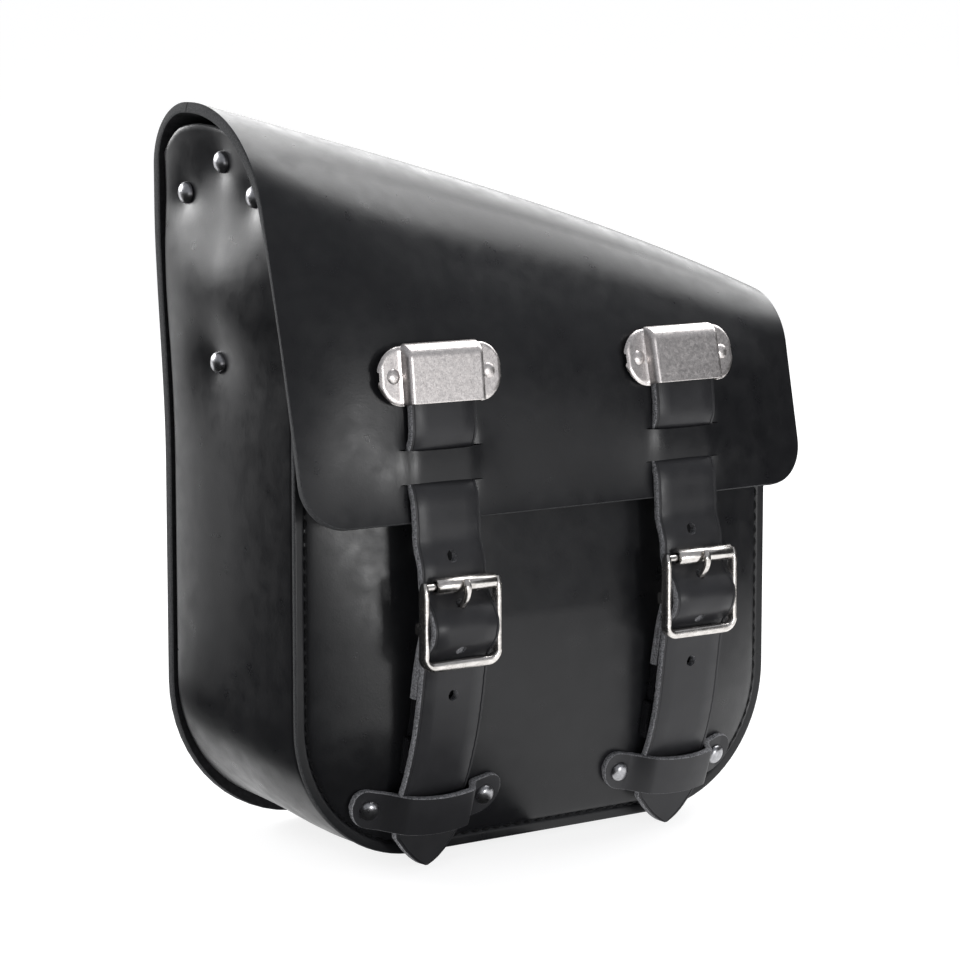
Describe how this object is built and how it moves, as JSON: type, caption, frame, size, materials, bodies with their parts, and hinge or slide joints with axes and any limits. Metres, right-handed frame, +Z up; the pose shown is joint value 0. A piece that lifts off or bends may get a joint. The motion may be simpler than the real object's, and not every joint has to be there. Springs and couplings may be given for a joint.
{
  "type": "motorcycle saddlebag",
  "caption": "Single-sided black leather saddlebag with a sloping flap, two buckled straps and metal strap plates, worn beside a motorcycle's swingarm.",
  "frame": {"origin": "under the middle of the bag's bounding box, on the surface that it stands on", "axes": "+Z up, +X across the bag towards its short end, the flap and buckles face -Y, the back panel faces +Y"},
  "size_m": [0.29, 0.1536, 0.347],
  "materials": {
    "body_leather": "smooth semi-gloss black saddle leather",
    "strap_leather": "smooth semi-gloss black strap leather, raw grey edges",
    "aged_nickel": "antique brushed nickel",
    "gunmetal": "dark polished gunmetal",
    "bright_nickel": "bright worn nickel",
    "clip_plastic": "glossy black plastic",
    "stiffener_board": "matte black sheet plastic"
  },
  "bodies": {
    "bag": {"back_panel": "body_leather", "gusset": "body_leather", "front_panel": "body_leather", "back_stiffener": "stiffener_board", "mounting_screw_1": "gunmetal", "mounting_screw_2": "gunmetal", "mounting_screw_3": "gunmetal", "side_stay_left": "stiffener_board", "side_rivet_left_1": "gunmetal", "side_rivet_left_2": "gunmetal", "side_rivet_left_3": "gunmetal", "side_rivet_left_4": "gunmetal", "keeper_loop_left": "strap_leather", "loop_rivet_left_1": "gunmetal", "loop_rivet_left_2": "gunmetal", "clip_socket_left": "clip_plastic", "clip_tab_left": "strap_leather", "side_stay_right": "stiffener_board", "side_rivet_right_1": "gunmetal", "side_rivet_right_2": "gunmetal", "side_rivet_right_3": "gunmetal", "side_rivet_right_4": "gunmetal", "keeper_loop_right": "strap_leather", "loop_rivet_right_1": "gunmetal", "loop_rivet_right_2": "gunmetal", "clip_socket_right": "clip_plastic", "clip_tab_right": "strap_leather"},
    "ridge": {"ridge_roll": "body_leather"},
    "flap": {"flap": "body_leather", "strap_plate_left": "aged_nickel", "plate_rivet_left_1": "aged_nickel", "plate_rivet_left_2": "aged_nickel", "strap_upper_left": "strap_leather", "strap_plate_right": "aged_nickel", "plate_rivet_right_1": "aged_nickel", "plate_rivet_right_2": "aged_nickel", "strap_upper_right": "strap_leather"},
    "strap_left": {"strap_lower_left": "strap_leather", "buckle_frame_left": "bright_nickel", "buckle_chape_left": "strap_leather", "clip_plug_left": "clip_plastic"},
    "prong_left": {"buckle_prong_left": "bright_nickel"},
    "roller_left": {"buckle_roller_left": "bright_nickel"},
    "strap_right": {"strap_lower_right": "strap_leather", "buckle_frame_right": "bright_nickel", "buckle_chape_right": "strap_leather", "clip_plug_right": "clip_plastic"},
    "prong_right": {"buckle_prong_right": "bright_nickel"},
    "roller_right": {"buckle_roller_right": "bright_nickel"}
  },
  "joints": [
    {"name": "ridge_bend", "type": "hinge", "parent": "bag", "child": "ridge", "pos_m": [0, 0.06816, 0.29136], "axis": [-0.9513, 0, 0.3083], "range_deg": [0, 70]},
    {"name": "flap_bend", "type": "hinge", "parent": "ridge", "child": "flap", "pos_m": [0, -0.01631, 0.28741], "axis": [-0.9565, 0.0997, 0.2743], "range_deg": [0, 70]},
    {"name": "strap_left_swing", "type": "hinge", "parent": "flap", "child": "strap_left", "pos_m": [-0.0745, -0.0618, 0.15865], "axis": [-1, 0, 0], "range_deg": [0, 80]},
    {"name": "prong_left_lift", "type": "hinge", "parent": "strap_left", "child": "prong_left", "pos_m": [-0.0745, -0.0672, 0.113], "axis": [1, 0, 0], "range_deg": [0, 5]},
    {"name": "roller_left_spin", "type": "hinge", "parent": "strap_left", "child": "roller_left", "pos_m": [-0.0745, -0.0702, 0.132], "axis": [1, 0, 0], "continuous": true},
    {"name": "strap_right_swing", "type": "hinge", "parent": "flap", "child": "strap_right", "pos_m": [0.0655, -0.0618, 0.15865], "axis": [-1, 0, 0], "range_deg": [0, 80]},
    {"name": "prong_right_lift", "type": "hinge", "parent": "strap_right", "child": "prong_right", "pos_m": [0.0655, -0.0672, 0.113], "axis": [1, 0, 0], "range_deg": [0, 5]},
    {"name": "roller_right_spin", "type": "hinge", "parent": "strap_right", "child": "roller_right", "pos_m": [0.0655, -0.0702, 0.132], "axis": [1, 0, 0], "continuous": true}
  ],
  "couplings": [
    {"joint": "flap_bend", "follows": "ridge_bend", "ratio": 1}
  ]
}
